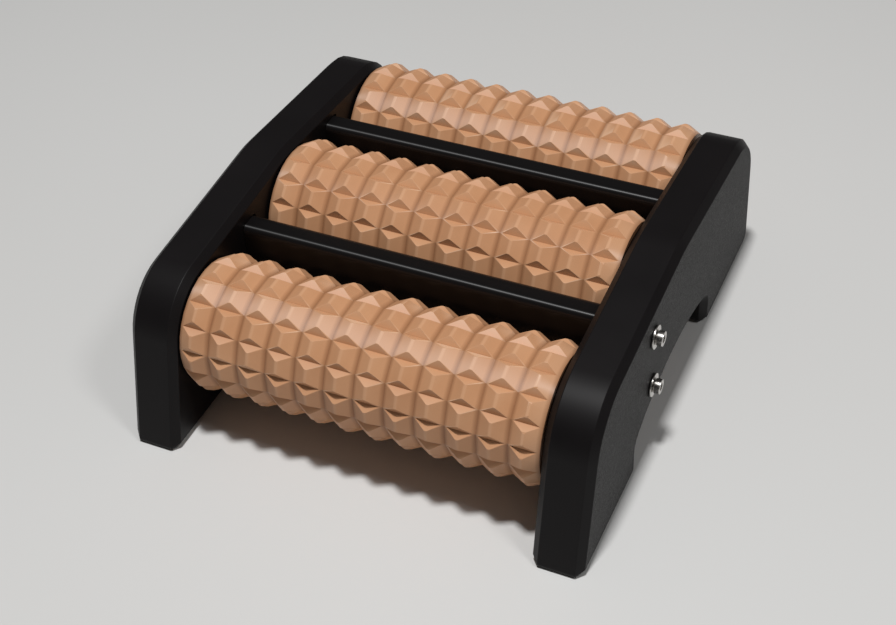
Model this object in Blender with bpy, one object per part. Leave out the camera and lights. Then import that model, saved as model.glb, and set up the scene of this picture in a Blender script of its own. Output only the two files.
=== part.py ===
"""Roller foot massager: three studded rollers on axles between two side frames tied by cross rails.

Metres, +Z up, +X to the right side frame, -Y to the front. The floor is at z = 0.
Sections are drawn from the middle axle, and the whole is then centred front to back.
"""

import math

import bmesh
import bpy
from mathutils import Vector

MM = 0.001

# Gap between pieces that sit in or on each other
SEAT_GAP = 0.3 * MM

# Studded rollers: rings of studs, each ring a ridge cut by V notches
RING_COUNT = 12
NOTCH_COUNT = 16
RING_PITCH = 13.2 * MM
ROLLER_RADIUS = 30.0 * MM
RIDGE_HEIGHT = 3.3 * MM
NOTCH_DEPTH = 2.8 * MM
NOTCH_MARGIN = 1.1 * MM
CREST_LENGTH = 5.2 * MM
FRONT_TURN = math.radians(-11.7)
MIDDLE_TURN = math.radians(9.3)
REAR_TURN = math.radians(18.7)

# Where the rollers stand, and the rails between them
FLOOR_CLEARANCE = 13.4 * MM
MIDDLE_RISE = 6.8 * MM
SIDE_GAP = 1.1 * MM
RAIL_CLEARANCE = 2.889 * MM
FRONT_RAIL_RISE = 17.2 * MM
REAR_RAIL_RISE = 19.3 * MM

# Cross rails with rounded edges, and the round tie bar below the front one
RAIL_THICKNESS = 10.7 * MM
RAIL_DEPTH = 24.0 * MM
RAIL_EDGE_RADIUS = 2.0 * MM
RAIL_SCREW_DROP = 6.8 * MM
TIE_BAR_RADIUS = 8.0 * MM
TIE_BAR_CLEARANCE = 1.2 * MM

# Side frames: roof line, leaning ends, two feet and the arch between them
FRAME_THICKNESS = 21.8 * MM
RIM_CHAMFER = 3.1 * MM
ROOF_SINK = 0.7 * MM
ROOF_KINK_LEAD = 2.1 * MM
FRONT_ROOF_SLOPE = math.radians(4.5)
REAR_ROOF_SLOPE = math.radians(4.85)
FRONT_LEAN = math.radians(14.2)
REAR_LEAN = math.radians(4.9)
TOE_REACH = 41.5 * MM
HEEL_REACH = 30.35 * MM
FRONT_FOOT_BACK = 21.7 * MM
REAR_FOOT_FRONT = 37.7 * MM
RISER_HEIGHT = 16.6 * MM
ARCH_RISE = 9.6 * MM
FRONT_BEND_RADIUS = 30.0 * MM
REAR_BEND_RADIUS = 28.0 * MM
ROOF_KINK_RADIUS = 60.0 * MM
TOE_RADIUS = 2.0 * MM
HEEL_RADIUS = 7.0 * MM
FOOT_RADIUS = 4.0 * MM
ARCH_CORNER_RADIUS = 5.0 * MM
LEAST_RADIUS = 0.3 * MM

# Axles and their flanged bushes
AXLE_RADIUS = 4.0 * MM
AXLE_SOCKET_DEPTH = 14.0 * MM
AXLE_CHAMFER = 0.6 * MM
BUSH_WALL = 2.7 * MM
BUSH_FLANGE_LIP = 2.5 * MM
BUSH_LENGTH = 14.0 * MM

# Rail and bar ends, threaded inserts, washers and low socket-head screws
SPIGOT_WALL = 1.8 * MM
SPIGOT_CHAMFER = 0.6 * MM
BAR_SOCKET_DEPTH = 10.0 * MM
INSERT_WALL = 0.6 * MM
INSERT_LENGTH = 8.0 * MM
INSERT_RUNOUT = 3.0 * MM
SCREW_RADIUS = 2.0 * MM
SCREW_HEAD_LIP = 1.2 * MM
SCREW_HEAD_HEIGHT = 2.6 * MM
SCREW_HEAD_CHAMFER = 0.4 * MM
HEX_ACROSS_FLATS = 3.0 * MM
HEX_DEPTH = 1.4 * MM
WASHER_LIP = 1.9 * MM
WASHER_THICKNESS = 0.8 * MM

# Sides of round shapes, steps of the frames' curves and the angle that still reads as round
BAR_SIDES = 32
ROD_SIDES = 20
HEX_SIDES = 6
RIM_SIDES_PER_FLAT = 4
ARCH_STEPS = 8
CORNER_STEPS = 3
END_STEPS = 4
REAR_BEND_STEPS = 7
FRONT_BEND_STEPS = 9
ROUND_ANGLE = math.radians(32)
CUT_OVERRUN = 1.0 * MM
WELD_DISTANCE = 1e-7

# Places that follow from the sizes above
VALLEY_RADIUS = ROLLER_RADIUS - RIDGE_HEIGHT
NOTCH_SPAN = RING_PITCH - 2 * NOTCH_MARGIN
ROLLER_LENGTH = RING_COUNT * RING_PITCH
INNER_FACE = ROLLER_LENGTH / 2 + SIDE_GAP
OUTER_FACE = INNER_FACE + FRAME_THICKNESS
HALF_SPACING = ROLLER_RADIUS + RAIL_CLEARANCE + RAIL_THICKNESS / 2
AXLE_SPACING = 2 * HALF_SPACING
LOW_AXLE_Z = ROLLER_RADIUS + FLOOR_CLEARANCE
MIDDLE_AXLE_Z = LOW_AXLE_Z + MIDDLE_RISE
ROOF_Z = MIDDLE_AXLE_Z + ROLLER_RADIUS - ROOF_SINK
BUSH_BORE = AXLE_RADIUS + SEAT_GAP
BUSH_RADIUS = BUSH_BORE + BUSH_WALL
SCREW_HOLE = SCREW_RADIUS + SEAT_GAP
INSERT_RADIUS = SCREW_HOLE + INSERT_WALL
INSERT_HOLE = INSERT_RADIUS + SEAT_GAP
SPIGOT_RADIUS = INSERT_HOLE + SPIGOT_WALL
SCREW_HEAD_RADIUS = SCREW_RADIUS + SCREW_HEAD_LIP
AXLE_END = INNER_FACE + AXLE_SOCKET_DEPTH - SEAT_GAP
BAR_END = INNER_FACE + BAR_SOCKET_DEPTH - SEAT_GAP
SCREW_SEAT = OUTER_FACE + WASHER_THICKNESS + 2 * SEAT_GAP

# Centre lines along X, each the (y, z) that every piece on that line shares
AXLE_LINES = {
    "front": (-AXLE_SPACING, LOW_AXLE_Z),
    "middle": (0.0, MIDDLE_AXLE_Z),
    "rear": (AXLE_SPACING, LOW_AXLE_Z),
}
ROLLER_TURNS = {"front": FRONT_TURN, "middle": MIDDLE_TURN, "rear": REAR_TURN}
FRONT_RAIL_FOOT_Z = MIDDLE_AXLE_Z + FRONT_RAIL_RISE - RAIL_DEPTH
RAIL_LINES = {
    "front": (-HALF_SPACING, MIDDLE_AXLE_Z + FRONT_RAIL_RISE - RAIL_DEPTH / 2),
    "rear": (HALF_SPACING, MIDDLE_AXLE_Z + REAR_RAIL_RISE - RAIL_DEPTH / 2),
}
SCREWED_LINES = {
    "upper": (-HALF_SPACING, MIDDLE_AXLE_Z + FRONT_RAIL_RISE - RAIL_SCREW_DROP),
    "lower": (-HALF_SPACING, FRONT_RAIL_FOOT_Z - TIE_BAR_CLEARANCE - TIE_BAR_RADIUS),
}
SIDES = {"right": 1, "left": -1}


def linear(hex_colour):
    """Linear RGBA of an sRGB hex colour."""
    channels = [int(hex_colour[i:i + 2], 16) / 255 for i in (0, 2, 4)]
    return [c / 12.92 if c <= 0.04045 else ((c + 0.055) / 1.055) ** 2.4 for c in channels] + [1.0]


def finish(name, hex_colour, roughness, metallic=0.0):
    """Principled material of one colour."""
    material = bpy.data.materials.new(name)
    material.use_nodes = True
    shader = material.node_tree.nodes["Principled BSDF"]
    shader.inputs["Base Color"].default_value = linear(hex_colour)
    shader.inputs["Roughness"].default_value = roughness
    shader.inputs["Metallic"].default_value = metallic
    return material


def close_mesh(name, bm):
    """Mesh of a closed shape with its faces outward and its round faces smooth."""
    bmesh.ops.remove_doubles(bm, verts=bm.verts, dist=WELD_DISTANCE)
    bmesh.ops.recalc_face_normals(bm, faces=bm.faces)
    mesh = bpy.data.meshes.new(name)
    bm.to_mesh(mesh)
    bm.free()
    mesh.shade_smooth()
    mesh.set_sharp_from_angle(angle=ROUND_ANGLE)
    return mesh


def place(name, mesh, material, parent, line=(0.0, 0.0), turn=0.0):
    """Object on a centre line along X, turned about that line."""
    piece = bpy.data.objects.new(name, mesh)
    bpy.context.collection.objects.link(piece)
    piece.parent = parent
    piece.location = (0.0, *line)
    piece.rotation_euler.x = turn
    if material:
        mesh.materials.clear()
        mesh.materials.append(material)
    return piece


def spin_profile(bm, profile, sides, line=(0.0, 0.0), closed=False):
    """Turn a profile of (x, radius) points about a centre line along X."""
    y, z = line
    verts = [bm.verts.new((x, y, z + radius)) for x, radius in profile]
    pairs = list(zip(verts, verts[1:]))
    if closed:
        pairs.append((verts[-1], verts[0]))
    edges = [bm.edges.new(pair) for pair in pairs]
    bmesh.ops.spin(bm, geom=verts + edges, cent=(0.0, y, z), axis=(1.0, 0.0, 0.0),
                   angle=math.tau, steps=sides, use_merge=True)


def turned(name, profile, sides, closed=False):
    """Mesh of one turned piece; a closed profile makes a ring."""
    bm = bmesh.new()
    spin_profile(bm, profile, sides, closed=closed)
    return close_mesh(name, bm)


def both_ends(half_profile):
    """Profile mirrored to -X and joined to itself, for a piece alike at both ends."""
    return [(-x, radius) for x, radius in half_profile] + half_profile[::-1]


def prism(bm, outline, start, end, line=(0.0, 0.0)):
    """Straight closed shape along X with an outline of (y, z) points as its section."""
    y, z = line
    first, second = [[bm.verts.new((x, y + v, z + w)) for v, w in outline] for x in (start, end)]
    for i in range(len(outline)):
        bm.faces.new((first[i - 1], first[i], second[i], second[i - 1]))
    bm.faces.new(first)
    bm.faces.new(second)


def cut_away(piece, name, bm, line=(0.0, 0.0)):
    """Cut a closed shape out of a piece."""
    cutter = place(name, close_mesh(name, bm), None, piece.parent, line)
    cutter.hide_render = True
    cutter.display_type = "WIRE"
    cut = piece.modifiers.new(name, "BOOLEAN")
    cut.operation = "DIFFERENCE"
    cut.object = cutter


def studded_roller():
    """Roller whose ridges are cut by V notches into studs, with a straight bore for the bushes."""
    bm = bmesh.new()
    step = math.tau / NOTCH_COUNT
    gap = (step - CREST_LENGTH / ROLLER_RADIUS) / 2
    notch_radius = ROLLER_RADIUS - NOTCH_DEPTH
    bore_radius = BUSH_RADIUS + SEAT_GAP
    turns = [j * step for j in range(NOTCH_COUNT)]
    ends = (-ROLLER_LENGTH / 2, ROLLER_LENGTH / 2)

    def ring(x, radius, shift=0.0):
        return [bm.verts.new((x, -radius * math.sin(t + shift), radius * math.cos(t + shift))) for t in turns]

    def join(first, second):
        for i in range(len(first)):
            bm.faces.new((first[i - 1], first[i], second[i], second[i - 1]))

    valleys = [ring(k * RING_PITCH + ends[0], VALLEY_RADIUS) for k in range(RING_COUNT + 1)]
    halfway = {k: ring(x, VALLEY_RADIUS, step / 2) for k, x in zip((0, RING_COUNT), ends)}
    for k in range(RING_COUNT):
        x = (k + 0.5) * RING_PITCH + ends[0]
        crest_start, crest_end = ring(x, ROLLER_RADIUS, gap), ring(x, ROLLER_RADIUS, -gap)
        left, right = [ring(x + side * NOTCH_SPAN / 2, notch_radius) for side in (-1, 1)]
        for j in range(NOTCH_COUNT):
            n = (j + 1) % NOTCH_COUNT
            bm.faces.new((left[j], right[j], crest_start[j]))
            bm.faces.new((right[j], left[j], crest_end[j]))
            for edge, corner in ((k, left), (k + 1, right)):
                valley = valleys[edge]
                bm.faces.new((valley[j], corner[j], crest_start[j]))
                bm.faces.new((valley[j], corner[j], crest_end[j]))
                if edge in halfway:
                    middle = halfway[edge][j]
                    bm.faces.new((valley[j], middle, crest_start[j]))
                    bm.faces.new((middle, crest_start[j], crest_end[n]))
                    bm.faces.new((middle, valley[n], crest_end[n]))
                else:
                    bm.faces.new((valley[j], valley[n], crest_end[n], crest_start[j]))

    bores = []
    for k, x in zip((0, RING_COUNT), ends):
        rim = [v for pair in zip(valleys[k], halfway[k]) for v in pair]
        mouths = zip(ring(x, bore_radius), ring(x, bore_radius, step / 2))
        bores.append([v for pair in mouths for v in pair])
        join(rim, bores[-1])
    join(*bores)
    return close_mesh("studded_roller", bm)


def meet(first, second):
    """Point where two lines cross, each a point and a direction."""
    (start, along), (other, across) = first, second
    return start + along * ((other - start).cross(across) / along.cross(across))


def drawn_in(line, distance):
    """Line moved to its left, which is the solid side of the outline."""
    start, along = line
    return start + Vector((-along.y, along.x)) * distance, along


def fillet(before, corner, after, radius, steps):
    """Arc of a given radius that rounds a corner."""
    u, w = (before - corner).normalized(), (after - corner).normalized()
    half = u.angle(w) / 2
    centre = corner + (u + w).normalized() * (radius / math.sin(half))
    first = (corner + u * (radius / math.tan(half)) - centre).normalized()
    last = (corner + w * (radius / math.tan(half)) - centre).normalized()
    return [centre + first.slerp(last, i / steps) * radius for i in range(steps + 1)]


def frame_outline(rim):
    """Side-frame outline, drawn in all round by rim.

    It runs from the toe along the feet and the arch to the heel, up the rear and back over the roof.
    """
    toe = Vector((-AXLE_SPACING - TOE_REACH, 0.0))
    heel = Vector((AXLE_SPACING + HEEL_REACH, 0.0))
    kink = Vector((-ROOF_KINK_LEAD, ROOF_Z))
    ground = drawn_in((toe, Vector((1.0, 0.0))), rim)
    rear = drawn_in((heel, Vector((-math.sin(REAR_LEAN), math.cos(REAR_LEAN)))), rim)
    rear_roof = drawn_in((kink, Vector((-math.cos(REAR_ROOF_SLOPE), math.sin(REAR_ROOF_SLOPE)))), rim)
    front_roof = drawn_in((kink, Vector((-math.cos(FRONT_ROOF_SLOPE), -math.sin(FRONT_ROOF_SLOPE)))), rim)
    front = drawn_in((toe, Vector((-math.sin(FRONT_LEAN), -math.cos(FRONT_LEAN)))), rim)

    front_riser = FRONT_FOOT_BACK - AXLE_SPACING
    rear_riser = AXLE_SPACING - REAR_FOOT_FRONT
    arch_middle = (front_riser + rear_riser) / 2
    half_span = (rear_riser - front_riser) / 2
    arch_radius = (half_span ** 2 + ARCH_RISE ** 2) / (2 * ARCH_RISE)
    arch_centre_z = RISER_HEIGHT + ARCH_RISE - arch_radius
    arch = []
    for i in range(ARCH_STEPS + 1):
        across = (half_span + rim) * (2 * i / ARCH_STEPS - 1)
        height = arch_centre_z + math.sqrt((arch_radius + rim) ** 2 - across ** 2)
        arch.append(Vector((arch_middle + across, height)))

    def round_out(radius):
        return max(radius - rim, LEAST_RADIUS)

    ground_z = ground[0].y
    corners = [
        (meet(front, ground), round_out(TOE_RADIUS), END_STEPS),
        (Vector((arch[0].x, ground_z)), round_out(FOOT_RADIUS), CORNER_STEPS),
        (arch[0], ARCH_CORNER_RADIUS + rim, CORNER_STEPS),
        *[(point, 0.0, 0) for point in arch[1:-1]],
        (arch[-1], ARCH_CORNER_RADIUS + rim, CORNER_STEPS),
        (Vector((arch[-1].x, ground_z)), round_out(FOOT_RADIUS), CORNER_STEPS),
        (meet(ground, rear), round_out(HEEL_RADIUS), END_STEPS),
        (meet(rear, rear_roof), round_out(REAR_BEND_RADIUS), REAR_BEND_STEPS),
        (meet(rear_roof, front_roof), round_out(ROOF_KINK_RADIUS), CORNER_STEPS),
        (meet(front_roof, front), round_out(FRONT_BEND_RADIUS), FRONT_BEND_STEPS),
    ]
    points = []
    for i, (corner, radius, steps) in enumerate(corners):
        if radius:
            after = corners[(i + 1) % len(corners)][0]
            points += fillet(corners[i - 1][0], corner, after, radius, steps)
        else:
            points.append(corner)
    return points


def side_frame(name, side):
    """Side frame as a thick plate with chamfered rims, before its sockets are cut."""
    full = frame_outline(0.0)
    face = frame_outline(RIM_CHAMFER)
    layers = [
        (OUTER_FACE, face),
        (OUTER_FACE - RIM_CHAMFER, full),
        (INNER_FACE + RIM_CHAMFER, full),
        (INNER_FACE, face),
    ]
    bm = bmesh.new()
    loops = [[bm.verts.new((side * x, y, z)) for y, z in outline] for x, outline in layers]
    for first, second in zip(loops, loops[1:]):
        for i in range(len(first)):
            bm.faces.new((first[i - 1], first[i], second[i], second[i - 1]))
    bm.faces.new(loops[0])
    bm.faces.new(loops[-1])
    return close_mesh(name, bm)


def cut_sockets(frame, side_name, side):
    """Cut the sockets of axles, rails and tie bar into a side frame, and its screw holes."""
    mouth = side * (INNER_FACE - CUT_OVERRUN)
    axle_floor = side * (INNER_FACE + AXLE_SOCKET_DEPTH)
    bar_floor = side * (INNER_FACE + BAR_SOCKET_DEPTH)
    through = side * (OUTER_FACE + CUT_OVERRUN)
    spigot_fit = SPIGOT_RADIUS + SEAT_GAP
    bm = bmesh.new()
    for line in AXLE_LINES.values():
        spin_profile(bm, [(mouth, 0.0), (mouth, BUSH_BORE), (axle_floor, BUSH_BORE), (axle_floor, 0.0)],
                     ROD_SIDES, line)
    for line in RAIL_LINES.values():
        prism(bm, rail_section(SEAT_GAP), mouth, bar_floor, line)
    spin_profile(bm, [
        (mouth, 0.0),
        (mouth, spigot_fit),
        (bar_floor, spigot_fit),
        (bar_floor, SCREW_HOLE),
        (through, SCREW_HOLE),
        (through, 0.0),
    ], ROD_SIDES, SCREWED_LINES["lower"])
    cut_away(frame, f"sockets_{side_name}", bm)
    bm = bmesh.new()
    spin_profile(bm, [(mouth, 0.0), (mouth, SCREW_HOLE), (through, SCREW_HOLE), (through, 0.0)],
                 ROD_SIDES, SCREWED_LINES["upper"])
    cut_away(frame, f"screw_hole_{side_name}", bm)


def rail_section(allowance=0.0):
    """Outline of a cross rail with rounded edges about its middle, as (y, z), grown by an allowance."""
    radius = RAIL_EDGE_RADIUS + allowance
    reach_y = RAIL_THICKNESS / 2 - RAIL_EDGE_RADIUS
    reach_z = RAIL_DEPTH / 2 - RAIL_EDGE_RADIUS
    section = []
    for quarter, (y, z) in enumerate(((1, 1), (-1, 1), (-1, -1), (1, -1))):
        for step in range(CORNER_STEPS + 1):
            turn = math.pi / 2 * (quarter + step / CORNER_STEPS)
            section.append((y * reach_y + radius * math.cos(turn), z * reach_z + radius * math.sin(turn)))
    return section


def rail(name):
    """Cross rail whose ends are let into the side frames."""
    bm = bmesh.new()
    prism(bm, rail_section(), -BAR_END, BAR_END)
    return close_mesh(name, bm)


def cut_insert_holes(front_rail):
    """Cut a blind hole for an insert into each end of the front rail."""
    hole_floor = BAR_END - INSERT_LENGTH - INSERT_RUNOUT
    mouth = BAR_END + CUT_OVERRUN
    bm = bmesh.new()
    for side in SIDES.values():
        spin_profile(bm, [
            (side * hole_floor, 0.0),
            (side * hole_floor, INSERT_HOLE),
            (side * mouth, INSERT_HOLE),
            (side * mouth, 0.0),
        ], ROD_SIDES)
    cut_away(front_rail, "insert_holes", bm, SCREWED_LINES["upper"])


def tie_bar():
    """Round bar with a spigot at each end, holed there for an insert."""
    shoulder = INNER_FACE - SEAT_GAP
    hole_floor = BAR_END - INSERT_LENGTH - INSERT_RUNOUT
    half = [
        (hole_floor, 0.0),
        (hole_floor, INSERT_HOLE),
        (BAR_END, INSERT_HOLE),
        (BAR_END, SPIGOT_RADIUS - SPIGOT_CHAMFER),
        (BAR_END - SPIGOT_CHAMFER, SPIGOT_RADIUS),
        (shoulder, SPIGOT_RADIUS),
        (shoulder, TIE_BAR_RADIUS),
    ]
    return turned("tie_bar", both_ends(half), BAR_SIDES)


def axle():
    """Steel rod with chamfered ends."""
    half = [
        (AXLE_END, 0.0),
        (AXLE_END, AXLE_RADIUS - AXLE_CHAMFER),
        (AXLE_END - AXLE_CHAMFER, AXLE_RADIUS),
    ]
    return turned("axle", both_ends(half), ROD_SIDES)


def bush(side):
    """Flanged bush: its barrel in the roller's bore, its flange between roller and side frame."""
    roller_end = ROLLER_LENGTH / 2
    flange_radius = BUSH_RADIUS + BUSH_FLANGE_LIP
    profile = [
        (roller_end - BUSH_LENGTH, BUSH_BORE),
        (roller_end - BUSH_LENGTH, BUSH_RADIUS),
        (roller_end + SEAT_GAP, BUSH_RADIUS),
        (roller_end + SEAT_GAP, flange_radius),
        (INNER_FACE - SEAT_GAP, flange_radius),
        (INNER_FACE - SEAT_GAP, BUSH_BORE),
    ]
    return turned("bush", [(side * x, radius) for x, radius in profile], ROD_SIDES, closed=True)


def sleeve(name, side, start, length, radius):
    """Plain ring round the screw, such as a washer or an insert."""
    end = start + length
    profile = [(start, SCREW_HOLE), (start, radius), (end, radius), (end, SCREW_HOLE)]
    return turned(name, [(side * x, r) for x, r in profile], ROD_SIDES, closed=True)


def screw(side):
    """Low socket-head screw: chamfered head with a hexagon recess, and a shank down to the insert's end."""
    top = side * (SCREW_SEAT + SCREW_HEAD_HEIGHT)
    seat = side * SCREW_SEAT
    tip = side * (BAR_END - INSERT_LENGTH)
    edge = side * SCREW_HEAD_CHAMFER
    sides = HEX_SIDES * RIM_SIDES_PER_FLAT
    bm = bmesh.new()
    spin_profile(bm, [
        (top, SCREW_HEAD_RADIUS - SCREW_HEAD_CHAMFER),
        (top - edge, SCREW_HEAD_RADIUS),
        (seat, SCREW_HEAD_RADIUS),
        (seat, SCREW_RADIUS),
        (tip + edge, SCREW_RADIUS),
        (tip, SCREW_RADIUS - SCREW_HEAD_CHAMFER),
        (tip, 0.0),
    ], sides)
    bmesh.ops.remove_doubles(bm, verts=bm.verts, dist=WELD_DISTANCE)
    rim = [v for v in bm.verts if abs(v.co.x - top) < WELD_DISTANCE]
    rim.sort(key=lambda v: round(math.atan2(v.co.y, v.co.z) / math.tau * sides) % sides)
    corner = HEX_ACROSS_FLATS / math.sqrt(3)
    turns = [math.tau * i / HEX_SIDES for i in range(HEX_SIDES)]
    mouth, floor = [
        [bm.verts.new((x, corner * math.sin(t), corner * math.cos(t))) for t in turns]
        for x in (top, top - side * HEX_DEPTH)
    ]
    reach = RIM_SIDES_PER_FLAT // 2
    for i in range(HEX_SIDES):
        facing = i * RIM_SIDES_PER_FLAT
        for k in range(facing - reach, facing + reach):
            bm.faces.new((mouth[i], rim[k % sides], rim[(k + 1) % sides]))
        bm.faces.new((mouth[i], rim[(facing + reach) % sides], mouth[(i + 1) % HEX_SIDES]))
        bm.faces.new((mouth[i - 1], mouth[i], floor[i], floor[i - 1]))
    bm.faces.new(floor)
    return close_mesh("screw", bm)


def build():
    for old in list(bpy.data.objects):
        bpy.data.objects.remove(old)

    tan = finish("tan printed plastic", "C8966E", 0.5)
    black = finish("black printed plastic", "201C1E", 0.45)
    gloss_black = finish("gloss black plastic", "161517", 0.25)
    steel = finish("bright steel", "C4C2C0", 0.25, 1.0)
    brass = finish("brass", "B08D4A", 0.35, 1.0)
    white = finish("natural nylon", "D8D4C8", 0.5)

    reach = [point.x for point in frame_outline(0.0)] + [AXLE_SPACING + ROLLER_RADIUS]
    assembly = bpy.data.objects.new("foot_massager", None)
    bpy.context.collection.objects.link(assembly)
    assembly.location.y = -(min(reach) + max(reach)) / 2

    for side_name, side in SIDES.items():
        frame_name = f"side_frame_{side_name}"
        frame = place(frame_name, side_frame(frame_name, side), black, assembly)
        cut_sockets(frame, side_name, side)

    roller_mesh = studded_roller()
    axle_mesh = axle()
    for row, line in AXLE_LINES.items():
        place(f"axle_{row}", axle_mesh, steel, assembly, line)
        roller = place(f"roller_{row}", roller_mesh, tan, assembly, line, ROLLER_TURNS[row])
        for side_name, side in SIDES.items():
            place(f"bush_{row}_{side_name}", bush(side), white, roller)

    rails = {row: place(f"cross_bar_{row}", rail(f"cross_bar_{row}"), gloss_black, assembly, line)
             for row, line in RAIL_LINES.items()}
    cut_insert_holes(rails["front"])
    place("tie_bar", tie_bar(), gloss_black, assembly, SCREWED_LINES["lower"])

    washer_radius = SCREW_HEAD_RADIUS + WASHER_LIP
    for side_name, side in SIDES.items():
        for height, line in SCREWED_LINES.items():
            tail = f"{height}_{side_name}"
            insert = sleeve("insert", side, BAR_END - INSERT_LENGTH, INSERT_LENGTH, INSERT_RADIUS)
            place(f"insert_{tail}", insert, brass, assembly, line)
            washer = sleeve("washer", side, OUTER_FACE + SEAT_GAP, WASHER_THICKNESS, washer_radius)
            place(f"washer_{tail}", washer, steel, assembly, line)
            place(f"screw_{tail}", screw(side), steel, assembly, line)


build()
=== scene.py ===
import math

import bpy
from mathutils import Matrix, Vector


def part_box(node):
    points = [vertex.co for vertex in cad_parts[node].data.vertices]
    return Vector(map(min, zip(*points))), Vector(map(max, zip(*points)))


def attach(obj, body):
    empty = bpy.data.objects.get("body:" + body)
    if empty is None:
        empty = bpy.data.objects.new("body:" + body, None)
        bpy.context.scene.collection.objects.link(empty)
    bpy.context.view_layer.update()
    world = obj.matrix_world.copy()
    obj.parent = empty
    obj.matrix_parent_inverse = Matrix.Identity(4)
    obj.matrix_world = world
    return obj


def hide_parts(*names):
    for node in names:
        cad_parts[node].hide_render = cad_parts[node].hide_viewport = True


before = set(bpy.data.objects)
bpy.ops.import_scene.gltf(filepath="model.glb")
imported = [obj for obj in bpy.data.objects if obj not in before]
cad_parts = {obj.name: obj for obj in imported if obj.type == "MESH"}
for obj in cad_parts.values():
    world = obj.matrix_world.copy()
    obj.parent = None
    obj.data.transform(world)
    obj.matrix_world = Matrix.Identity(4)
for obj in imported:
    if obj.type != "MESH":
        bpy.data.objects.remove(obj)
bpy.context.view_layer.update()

MM = 0.001

# Pieces of the massager by their place
ROWS = ("front", "middle", "rear")
SIDES = {"right": 1, "left": -1}
HEIGHTS = ("upper", "lower")

# Rounding left on printed, moulded and turned edges
STUD_EDGE = 0.35 * MM
CREST_ROUNDING = 1.0 * MM
CREST_STEPS = 4
CREST_BAND = 0.05 * MM
MEASURED_SPAN = 20.0 * MM
FRAME_EDGE = 0.5 * MM
PLATE_BAND = 0.3 * MM
BAR_EDGE = 0.5 * MM
STEEL_EDGE = 0.25 * MM
WASHER_EDGE = 0.15 * MM
EDGE_STEPS = 2

# Rails, tie bar, screws and washers
RAIL_EDGE = 3.2 * MM
RAIL_EDGE_STEPS = 8
BAR_SIDES = 96
SCREW_SIDES = 48
INSERT_HOLE = 3.2 * MM
INSERT_DEPTH = 11.0 * MM
TIE_BAR_RADIUS = 8.0 * MM
SPIGOT_RADIUS = 5.0 * MM
HEAD_RADIUS = 3.2 * MM
HEAD_HEIGHT = 2.6 * MM
SHANK_RADIUS = 2.0 * MM
HEX_ACROSS_FLATS = 3.0 * MM
HEX_DEPTH = 1.4 * MM
HEX_SIDES = 6
HOLE_RADIUS = 2.3 * MM
FACE_GAP = 0.3 * MM

# Limits for cleaning up and shading a mesh
WELD = 0.002 * MM
FLAT_ANGLE = math.radians(0.3)
STUD_ANGLE = math.radians(12)
EDGE_ANGLE = math.radians(25)
ROUND_ANGLE = math.radians(32)
END_FACING = 0.95

# Sizes of the patterns in the finishes
ROLLER_MOTTLE = 18.0 * MM
ROLLER_LAYERS = 0.7 * MM
ROLLER_RELIEF = 0.04 * MM
FRAME_CLOUD = 30.0 * MM
FRAME_LAYERS = 0.6 * MM
FRAME_RELIEF = 0.02 * MM
PLATE_GRAIN = 0.9 * MM
PLATE_RELIEF = 0.5 * MM
RAIL_MARKS = 0.8 * MM
RAIL_STRETCH = (0.03, 1.0, 1.0)
STEEL_MARKS = 0.7 * MM
BRASS_RINGS = 0.4 * MM
NYLON_CLOUD = 5.0 * MM
TABLE_CLOUD = 400.0 * MM
QUARTER_TURN = 0.25

# Camera at the photograph's place, and studio light from above and from the right
CAMERA_PLACE = (0.2328, -0.4708, 0.4840)
CAMERA_AZIMUTH = math.radians(26.739)
CAMERA_ELEVATION = math.radians(41.890)
CAMERA_ROLL = math.radians(-3.747)
CAMERA_LENS = 63.17
SENSOR_WIDTH = 36.0
NEAREST_SEEN = 1.0 * MM
LAMP_PLACE = (0.05, -0.22, 1.5)
LAMP_SIZE = 0.15
LAMP_POWER = 18.0
SIDE_LAMP_PLACE = (0.9, -0.25, 1.4)
SIDE_LAMP_SIZE = 0.3
SIDE_LAMP_POWER = 4.5
WORLD_LEVEL = 0.09
FLOOR_SIZE = 6.0


# Handling of pieces

def deselect():
    """Nothing selected, so that the next operator acts on the new piece alone."""
    bpy.ops.object.select_all(action="DESELECT")


def use(piece):
    """Make one piece the selected and active one."""
    deselect()
    piece.select_set(True)
    bpy.context.view_layer.objects.active = piece


def edit(mode="FACE"):
    """Edit mode with nothing selected."""
    bpy.ops.object.mode_set(mode="EDIT")
    bpy.ops.mesh.select_mode(type=mode)
    bpy.ops.mesh.select_all(action="DESELECT")


def done():
    """Back to object mode."""
    bpy.ops.object.mode_set(mode="OBJECT")


def pick_faces(piece, wanted):
    """Select the faces that wanted(face) is true of, then go on in edit mode."""
    edit()
    done()
    for face in piece.data.polygons:
        face.select = wanted(face)
    bpy.ops.object.mode_set(mode="EDIT")


def faces_end(face):
    """True of the flat ends of a piece that lies along X."""
    return abs(face.normal.x) > END_FACING


def centre(node):
    """Middle of a CAD node's box."""
    return sum(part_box(node), Vector()) / 2


def rename(piece, name):
    """Give a piece and its mesh one name."""
    piece.name = name
    piece.data.name = name


def cad_copy(name, node):
    """Copy of a CAD node, its triangles merged and its flat faces joined."""
    piece = bpy.data.objects.new(name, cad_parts[node].data.copy())
    bpy.context.scene.collection.objects.link(piece)
    piece.data.materials.clear()
    use(piece)
    edit()
    bpy.ops.mesh.select_all(action="SELECT")
    bpy.ops.mesh.remove_doubles(threshold=WELD)
    bpy.ops.mesh.normals_make_consistent(inside=False)
    bpy.ops.mesh.dissolve_limited(angle_limit=FLAT_ANGLE)
    done()
    return piece


def rod(name, radius, depth, middle, sides):
    """Cylinder along X at its size and place, to be shaped further."""
    deselect()
    bpy.ops.mesh.primitive_cylinder_add(vertices=sides, radius=radius, depth=depth, location=middle,
                                        rotation=(0.0, math.pi / 2, 0.0))
    piece = bpy.context.object
    rename(piece, name)
    bpy.ops.object.transform_apply(location=True, rotation=True, scale=True)
    return piece


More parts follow.
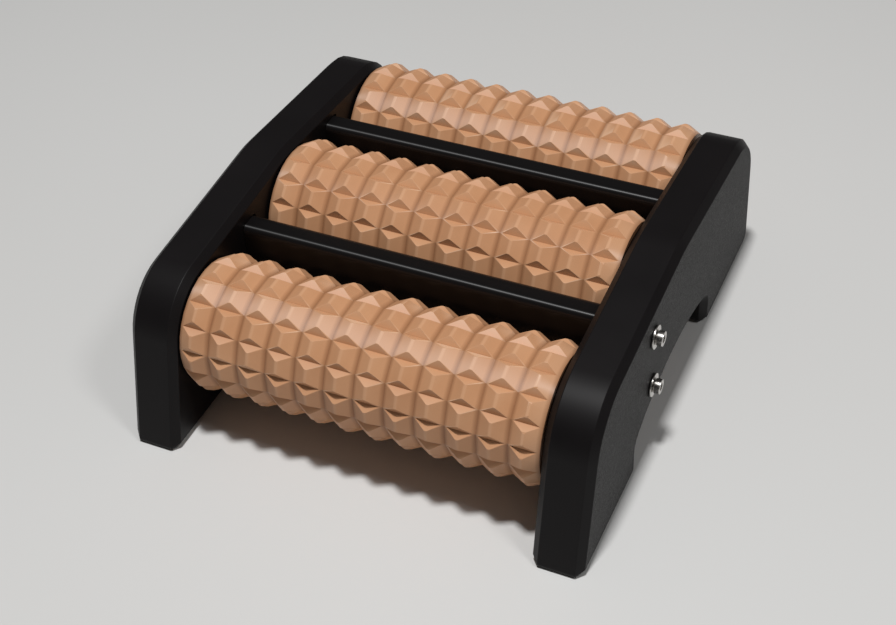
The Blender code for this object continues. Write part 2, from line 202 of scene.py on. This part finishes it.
def cut_round(piece, radius, depth, middle, sides):
    """Cut a round or many-sided hole along X into a piece."""
    cutter = rod("cutter", radius, depth, middle, sides)
    use(piece)
    hole = piece.modifiers.new("hole", "BOOLEAN")
    hole.operation = "DIFFERENCE"
    hole.object = cutter
    bpy.ops.object.modifier_apply(modifier=hole.name)
    bpy.data.objects.remove(cutter)


def soften(piece, width, limit):
    """Round the edges sharper than a limit and shade the piece so that its flat faces stay flat."""
    use(piece)
    rounding = piece.modifiers.new("rounding", "BEVEL")
    rounding.width = width
    rounding.segments = EDGE_STEPS
    rounding.limit_method = "ANGLE"
    rounding.angle_limit = limit
    rounding.miter_outer = "MITER_ARC"
    bpy.ops.object.modifier_apply(modifier=rounding.name)
    bpy.ops.object.shade_smooth_by_angle(angle=ROUND_ANGLE)
    level = piece.modifiers.new("level", "WEIGHTED_NORMAL")
    level.keep_sharp = True
    bpy.ops.object.modifier_apply(modifier=level.name)


def hand_over(piece, node, body, slot, *finishes):
    """Give a piece its finishes and let it stand for its CAD node on that node's body."""
    for finish in finishes:
        piece.data.materials.append(finish)
    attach(piece, body)
    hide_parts(node)


# Rollers

def radii(piece, axle):
    """Distance of each point of a piece from an axle along X."""
    return [math.hypot(point.co.y - axle.y, point.co.z - axle.z) for point in piece.data.vertices]


def pick_crests(piece, axle):
    """Select the studs' crests, the edges that run round the roller at its full radius."""
    edit("EDGE")
    done()
    points = piece.data.vertices
    reach = radii(piece, axle)
    crest = max(reach) - CREST_BAND
    for edge in piece.data.edges:
        first, second = edge.vertices
        goes_round = abs(points[first].co.x - points[second].co.x) < CREST_BAND
        edge.select = goes_round and min(reach[first], reach[second]) > crest
    bpy.ops.object.mode_set(mode="EDIT")


def mark_depth(piece, axle):
    """Store how deep each point lies, 0 on the crests and 1 in the seams of the roller's middle; the
    roller's finish paints shade by it.
    """
    reach = radii(piece, axle)
    full = max(reach)
    seam = min(r for r, point in zip(reach, piece.data.vertices) if abs(point.co.x) < MEASURED_SPAN)
    layer = piece.data.attributes.new("depth", "FLOAT", "POINT")
    layer.data.foreach_set("value", [(full - r) / (full - seam) for r in reach])


def studded_roller(row, finish):
    """Roller with its studs' crests and edges rounded as a printer leaves them."""
    node = f"roller_{row}"
    axle = centre(f"axle_{row}")
    piece = cad_copy(f"studded_{node}", node)
    pick_crests(piece, axle)
    bpy.ops.mesh.bevel(offset=CREST_ROUNDING, segments=CREST_STEPS, affect="EDGES")
    done()
    soften(piece, STUD_EDGE, STUD_ANGLE)
    mark_depth(piece, axle)
    hand_over(piece, node, f"{row}_roller", "roller", finish)


# Frame

def side_frame(side_name, side, satin, grain):
    """Side frame with rounded rims, its outer face grainy from the printing plate."""
    node = f"side_frame_{side_name}"
    piece = cad_copy(f"printed_{node}", node)
    soften(piece, FRAME_EDGE, EDGE_ANGLE)
    hand_over(piece, node, "frame", "frame", satin, grain)
    outer = max(side * corner.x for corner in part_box(node))
    for face in piece.data.polygons:
        if side * face.normal.x > END_FACING and side * face.center.x > outer - PLATE_BAND:
            face.material_index = 1


def cross_rail(node, finish, screw_node=None):
    """Deep rail with rounded long edges, holed at its ends where screws hold it."""
    low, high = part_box(node)
    deselect()
    bpy.ops.mesh.primitive_cube_add(size=1.0, location=centre(node), scale=high - low)
    piece = bpy.context.object
    rename(piece, f"printed_{node}")
    bpy.ops.object.transform_apply(location=True, rotation=True, scale=True)
    pick_faces(piece, lambda face: not faces_end(face))
    bpy.ops.mesh.bevel(offset=RAIL_EDGE, segments=RAIL_EDGE_STEPS, affect="EDGES")
    done()
    if screw_node:
        line = centre(screw_node)
        for end in (low.x, high.x):
            cut_round(piece, INSERT_HOLE, 2 * INSERT_DEPTH, (end, line.y, line.z), SCREW_SIDES)
    soften(piece, BAR_EDGE, EDGE_ANGLE)
    hand_over(piece, node, "frame", "bar", finish)


def tie_bar(node, finish):
    """Round bar low between the side frames, stepped down to a holed spigot at each end."""
    spigot_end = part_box(node)[1].x
    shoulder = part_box("side_frame_right")[0].x - FACE_GAP
    piece = rod(f"turned_{node}", TIE_BAR_RADIUS, 2 * shoulder, centre(node), BAR_SIDES)
    pick_faces(piece, faces_end)
    bpy.ops.mesh.inset(thickness=TIE_BAR_RADIUS - SPIGOT_RADIUS)
    bpy.ops.mesh.extrude_region_shrink_fatten(TRANSFORM_OT_shrink_fatten={"value": spigot_end - shoulder})
    bpy.ops.mesh.inset(thickness=SPIGOT_RADIUS - INSERT_HOLE)
    bpy.ops.mesh.extrude_region_shrink_fatten(TRANSFORM_OT_shrink_fatten={"value": -INSERT_DEPTH})
    done()
    soften(piece, BAR_EDGE, EDGE_ANGLE)
    hand_over(piece, node, "frame", "bar", finish)


# Screws and washers, modelled once at the origin and copied

def washer():
    """Plain washer with broken edges."""
    low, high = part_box("washer_upper_right")
    radius = (high.z - low.z) / 2
    piece = rod("washer", radius, high.x - low.x, (0.0, 0.0, 0.0), SCREW_SIDES)
    pick_faces(piece, faces_end)
    bpy.ops.mesh.inset(thickness=radius - HOLE_RADIUS)
    bpy.ops.mesh.bridge_edge_loops()
    done()
    soften(piece, WASHER_EDGE, EDGE_ANGLE)
    return piece


def screw():
    """Socket-head screw: rounded head with a hexagon recess, on a plain shank."""
    low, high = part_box("screw_upper_right")
    length = high.x - low.x
    top = length / 2
    piece = rod("screw", HEAD_RADIUS, HEAD_HEIGHT, (top - HEAD_HEIGHT / 2, 0.0, 0.0), SCREW_SIDES)
    pick_faces(piece, lambda face: face.normal.x < -END_FACING)
    bpy.ops.mesh.inset(thickness=HEAD_RADIUS - SHANK_RADIUS)
    bpy.ops.mesh.extrude_region_shrink_fatten(TRANSFORM_OT_shrink_fatten={"value": length - HEAD_HEIGHT})
    done()
    cut_round(piece, HEX_ACROSS_FLATS / math.sqrt(3), 2 * HEX_DEPTH, (top, 0.0, 0.0), HEX_SIDES)
    soften(piece, STEEL_EDGE, EDGE_ANGLE)
    return piece


def fit_copy(model, made, node, side, finish):
    """Copy a model with its own mesh, turned to its side of the massager and put in its node's place."""
    piece = model.copy()
    piece.data = model.data.copy()
    rename(piece, f"{made}_{node}")
    bpy.context.scene.collection.objects.link(piece)
    turn = Matrix.Rotation(0.0 if side > 0 else math.pi, 4, "Z")
    piece.data.transform(Matrix.Translation(centre(node)) @ turn)
    hand_over(piece, node, "frame", "screw", finish)


def fasteners(finish):
    """The screws and washers of both side frames."""
    models = (washer(), screw())
    for side_name, side in SIDES.items():
        for height in HEIGHTS:
            fit_copy(models[0], "pressed", f"washer_{height}_{side_name}", side, finish)
            fit_copy(models[1], "bright", f"screw_{height}_{side_name}", side, finish)
    for model in models:
        bpy.data.objects.remove(model)


# Parts of materials

def linear(hex_colour):
    """Linear RGBA of an sRGB hex colour."""
    channels = [int(hex_colour[i:i + 2], 16) / 255 for i in (0, 2, 4)]
    return [c / 12.92 if c <= 0.04045 else ((c + 0.055) / 1.055) ** 2.4 for c in channels] + [1.0]


def add(tree, kind, inputs, **settings):
    """Node with its settings; each input takes a value or another node's output."""
    made = tree.nodes.new(kind)
    for name, value in settings.items():
        setattr(made, name, value)
    for name, value in inputs.items():
        if isinstance(value, bpy.types.NodeSocket):
            tree.links.new(value, made.inputs[name])
        else:
            made.inputs[name].default_value = value
    return made


def start(name, **values):
    """New material with its shader's plain values; returns it with its tree, shader and coordinates."""
    made = bpy.data.materials.new(name)
    made.use_nodes = True
    tree = made.node_tree
    shader = tree.nodes["Principled BSDF"]
    for socket, value in values.items():
        shader.inputs[socket.replace("_", " ").title().replace("Ior", "IOR")].default_value = value
    return made, tree, shader, add(tree, "ShaderNodeTexCoord", {}).outputs["Object"]


def noise(tree, place, size, **inputs):
    """Noise whose grains are about this size."""
    return add(tree, "ShaderNodeTexNoise", {"Vector": place, "Scale": 1.0 / size, **inputs}).outputs["Fac"]


def bands(tree, place, period, **inputs):
    """Bands across X that repeat at this spacing; a wave of scale 1 holds 20 / tau of them a metre."""
    scale = math.tau / 20 / period
    wave = add(tree, "ShaderNodeTexWave", {"Vector": place, "Scale": scale, **inputs}, bands_direction="X")
    return wave.outputs["Fac"]


def between(tree, pattern, first, second):
    """Colour that follows a pattern from a first colour to a second."""
    mix = add(tree, "ShaderNodeMixRGB", {"Fac": pattern, "Color1": first, "Color2": second})
    return mix.outputs["Color"]


def ramp(tree, value, start_at, end_at, low, high):
    """Value led from low to high while it goes from one end to the other."""
    made = add(tree, "ShaderNodeMapRange", {
        "Value": value, "From Min": start_at, "From Max": end_at, "To Min": low, "To Max": high})
    return made.outputs["Result"]


def set_colour(tree, shader, colour):
    """Colour of the surface."""
    tree.links.new(colour, shader.inputs["Base Color"])


def set_gloss(tree, shader, pattern, low, high):
    """Roughness that follows a pattern."""
    tree.links.new(ramp(tree, pattern, 0.0, 1.0, low, high), shader.inputs["Roughness"])


def set_relief(tree, shader, height, strength, distance):
    """Fine relief of the surface."""
    bump = add(tree, "ShaderNodeBump", {"Height": height, "Strength": strength, "Distance": distance})
    tree.links.new(bump.outputs["Normal"], shader.inputs["Normal"])


def set_grain_round_x(tree, shader):
    """Brushing direction round the X axis, which a quarter turn lays along it."""
    tangent = add(tree, "ShaderNodeTangent", {}, direction_type="RADIAL", axis="X")
    tree.links.new(tangent.outputs["Tangent"], shader.inputs["Tangent"])


# Materials

def tan_printed_plastic():
    """PLA printed upright: layers draw the light out along the roller; its edges carry a painted highlight
    and its seams painted shade.
    """
    made, tree, shader, place = start("tan PLA, printed in layers", specular_ior_level=0.5,
                                      anisotropic=1.0, anisotropic_rotation=QUARTER_TURN)
    mottle = noise(tree, place, ROLLER_MOTTLE, Detail=3.0)
    body = between(tree, mottle, linear("BB8761"), linear("CD9C76"))
    # Pointiness paints the convex edges paler: a painted highlight on the edges.
    point = add(tree, "ShaderNodeNewGeometry", {}).outputs["Pointiness"]
    painted_edge_highlight = between(tree, ramp(tree, point, 0.5, 0.62, 0.0, 0.5), body, linear("E9C6A8"))
    # The deepest points, the seams between the rings, are painted darker: painted shade in the hollows.
    depth = add(tree, "ShaderNodeAttribute", {}, attribute_name="depth").outputs["Fac"]
    shaded = between(tree, ramp(tree, depth, 0.72, 1.0, 0.0, 0.6), painted_edge_highlight, linear("7A4E30"))
    set_colour(tree, shader, shaded)
    set_gloss(tree, shader, mottle, 0.46, 0.54)
    set_grain_round_x(tree, shader)

    # Layers of 0.2 mm are too fine to show, so they are drawn coarser
    layers = bands(tree, place, ROLLER_LAYERS, Distortion=0.6, Detail=1.0)
    set_relief(tree, shader, layers, 0.25, ROLLER_RELIEF)
    return made


def black_printed_plastic():
    """PLA printed flat and smoothed by its layers: near black with a soft, slightly uneven sheen."""
    made, tree, shader, place = start("black PLA, satin", specular_ior_level=0.17)
    cloud = noise(tree, place, FRAME_CLOUD, Detail=4.0)
    set_colour(tree, shader, between(tree, cloud, linear("0C0A0B"), linear("141112")))
    set_gloss(tree, shader, cloud, 0.42, 0.52)

    # Layers of 0.2 mm are too fine to show, so they are drawn coarser
    layers = bands(tree, place, FRAME_LAYERS, Distortion=0.4)
    set_relief(tree, shader, layers, 0.15, FRAME_RELIEF)
    return made


def plate_grain():
    """The same PLA off a textured printing plate: a dark grey grain with small bright glints."""
    made, tree, shader, place = start("black PLA, textured plate grain", specular_ior_level=0.22)
    grain = noise(tree, place, PLATE_GRAIN, Detail=3.0, Roughness=0.7)
    tone = ramp(tree, grain, 0.35, 0.7, 0.0, 1.0)
    set_colour(tree, shader, between(tree, tone, linear("060505"), linear("1E1B1C")))
    set_gloss(tree, shader, grain, 0.7, 0.35)
    set_relief(tree, shader, grain, 1.0, PLATE_RELIEF)
    return made


def gloss_black_plastic():
    """PLA printed lengthwise: a deep black whose fine layers draw the highlight out along the rail."""
    made, tree, shader, place = start("black PLA, gloss, printed lengthwise", specular_ior_level=0.35,
                                      anisotropic=0.85, anisotropic_rotation=QUARTER_TURN)
    along = add(tree, "ShaderNodeMapping", {"Vector": place, "Scale": RAIL_STRETCH}).outputs["Vector"]
    marks = noise(tree, along, RAIL_MARKS, Detail=3.0)
    set_colour(tree, shader, between(tree, marks, linear("090808"), linear("110F10")))
    set_gloss(tree, shader, marks, 0.34, 0.44)
    set_grain_round_x(tree, shader)
    return made


def bright_steel():
    """Cold-headed stainless steel: bright, with fine marks that break up the reflection."""
    made, tree, shader, place = start("stainless steel, cold headed", metallic=1.0)
    marks = noise(tree, place, STEEL_MARKS, Detail=4.0)
    set_colour(tree, shader, between(tree, marks, linear("B8B4B0"), linear("DAD7D3")))
    set_gloss(tree, shader, marks, 0.16, 0.34)
    return made


def turned_brass():
    """Brass turned on a lathe: warm, with fine rings round the piece."""
    made, tree, shader, place = start("brass, turned", metallic=1.0)
    rings = bands(tree, place, BRASS_RINGS, Distortion=0.5)
    set_colour(tree, shader, between(tree, rings, linear("A8823E"), linear("C4A15C")))
    set_gloss(tree, shader, rings, 0.25, 0.4)
    return made


def natural_nylon():
    """Moulded nylon: milky white, slightly waxy, faintly clouded."""
    made, tree, shader, place = start("nylon, moulded natural", subsurface_weight=0.15)
    cloud = noise(tree, place, NYLON_CLOUD, Detail=2.0)
    set_colour(tree, shader, between(tree, cloud, linear("D2CDBF"), linear("E2DED2")))
    set_gloss(tree, shader, cloud, 0.4, 0.55)
    return made


def pale_table():
    """Matt painted table top: pale grey, a little warmer and darker in places."""
    made, tree, shader, place = start("pale paint, matt", specular_ior_level=0.2)
    cloud = noise(tree, place, TABLE_CLOUD, Detail=1.0)
    set_colour(tree, shader, between(tree, cloud, linear("CBCAC8"), linear("D4D4D3")))
    set_gloss(tree, shader, cloud, 0.6, 0.7)
    return made


# Studio

def set_table():
    """Pale table top that the massager stands on."""
    deselect()
    bpy.ops.mesh.primitive_plane_add(size=FLOOR_SIZE)
    table = bpy.context.object
    table.name = "table_top"
    table.data.materials.append(pale_table())


def lamp(name, place, size, power):
    """Round lamp that faces the massager."""
    deselect()
    bpy.ops.object.light_add(type="AREA", location=place)
    made = bpy.context.object
    made.name = name
    made.data.shape = "DISK"
    made.data.size = size
    made.data.energy = power
    made.rotation_euler = (-Vector(place)).to_track_quat("-Z", "Y").to_euler()


def set_light():
    """A lamp overhead, a softer one from the right and an even, weak light from all round."""
    lamp("overhead_lamp", LAMP_PLACE, LAMP_SIZE, LAMP_POWER)
    lamp("side_lamp", SIDE_LAMP_PLACE, SIDE_LAMP_SIZE, SIDE_LAMP_POWER)
    world = bpy.data.worlds.new("even studio light")
    world.use_nodes = True
    background = world.node_tree.nodes["Background"]
    background.inputs["Color"].default_value = linear("FFFCF8")
    background.inputs["Strength"].default_value = WORLD_LEVEL
    bpy.context.scene.world = world


def set_camera():
    """Camera at the photograph's place, turn and lens."""
    deselect()
    bpy.ops.object.camera_add()
    camera = bpy.context.object
    camera.name = "photo_camera"
    camera.data.sensor_fit = "HORIZONTAL"
    camera.data.sensor_width = SENSOR_WIDTH
    camera.data.lens = CAMERA_LENS
    camera.data.clip_start = NEAREST_SEEN
    camera.matrix_world = (
        Matrix.Translation(CAMERA_PLACE)
        @ Matrix.Rotation(CAMERA_AZIMUTH, 4, "Z")
        @ Matrix.Rotation(math.pi / 2 - CAMERA_ELEVATION, 4, "X")
        @ Matrix.Rotation(CAMERA_ROLL, 4, "Z")
    )
    bpy.context.scene.camera = camera
    bpy.context.scene.view_settings.view_transform = "Standard"


# The whole massager

def dress_hidden(finishes):
    """Finishes of the axles, bushes and inserts, which stay as the CAD has them."""
    for name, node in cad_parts.items():
        kind = name.split("_")[0]
        if kind in finishes:
            node.data.materials.clear()
            node.data.materials.append(finishes[kind])


def build():
    """The massager on its table."""
    tan = tan_printed_plastic()
    satin = black_printed_plastic()
    grain = plate_grain()
    gloss = gloss_black_plastic()
    steel = bright_steel()
    for row in ROWS:
        studded_roller(row, tan)
    for side_name, side in SIDES.items():
        side_frame(side_name, side, satin, grain)
    cross_rail("cross_bar_front", gloss, "screw_upper_right")
    cross_rail("cross_bar_rear", gloss)
    tie_bar("tie_bar", gloss)
    fasteners(steel)
    dress_hidden({"axle": steel, "bush": natural_nylon(), "insert": turned_brass()})
    set_table()
    set_light()
    set_camera()


build()
